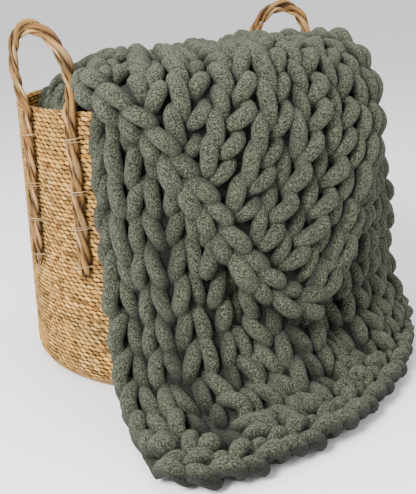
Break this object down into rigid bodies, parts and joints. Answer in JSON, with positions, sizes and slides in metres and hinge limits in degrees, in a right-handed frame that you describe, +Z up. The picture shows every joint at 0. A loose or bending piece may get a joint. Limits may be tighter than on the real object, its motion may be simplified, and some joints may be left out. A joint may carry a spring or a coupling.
{
  "type": "chunky knit blanket draped over a woven basket",
  "caption": "Thick chenille knit blanket hung over the front of a round woven basket with rope handles, its top folded back over itself and its hem spread on the floor.",
  "frame": {"origin": "middle of the flat underside of the basket, on the floor", "axes": "+Z up, -Y towards the front where the blanket hangs, +X to the right seen from the front"},
  "size_m": [0.5937, 0.7392, 0.5194],
  "materials": {
    "seagrass": "matte woven grass",
    "seagrass_rope": "matte twisted grass rope",
    "chenille": "matte plush yarn"
  },
  "bodies": {
    "root": {"basket_body": "seagrass", "blanket": "chenille", "handle_back_right": "seagrass_rope", "handle_front_left": "seagrass_rope"}
  },
  "joints": []
}
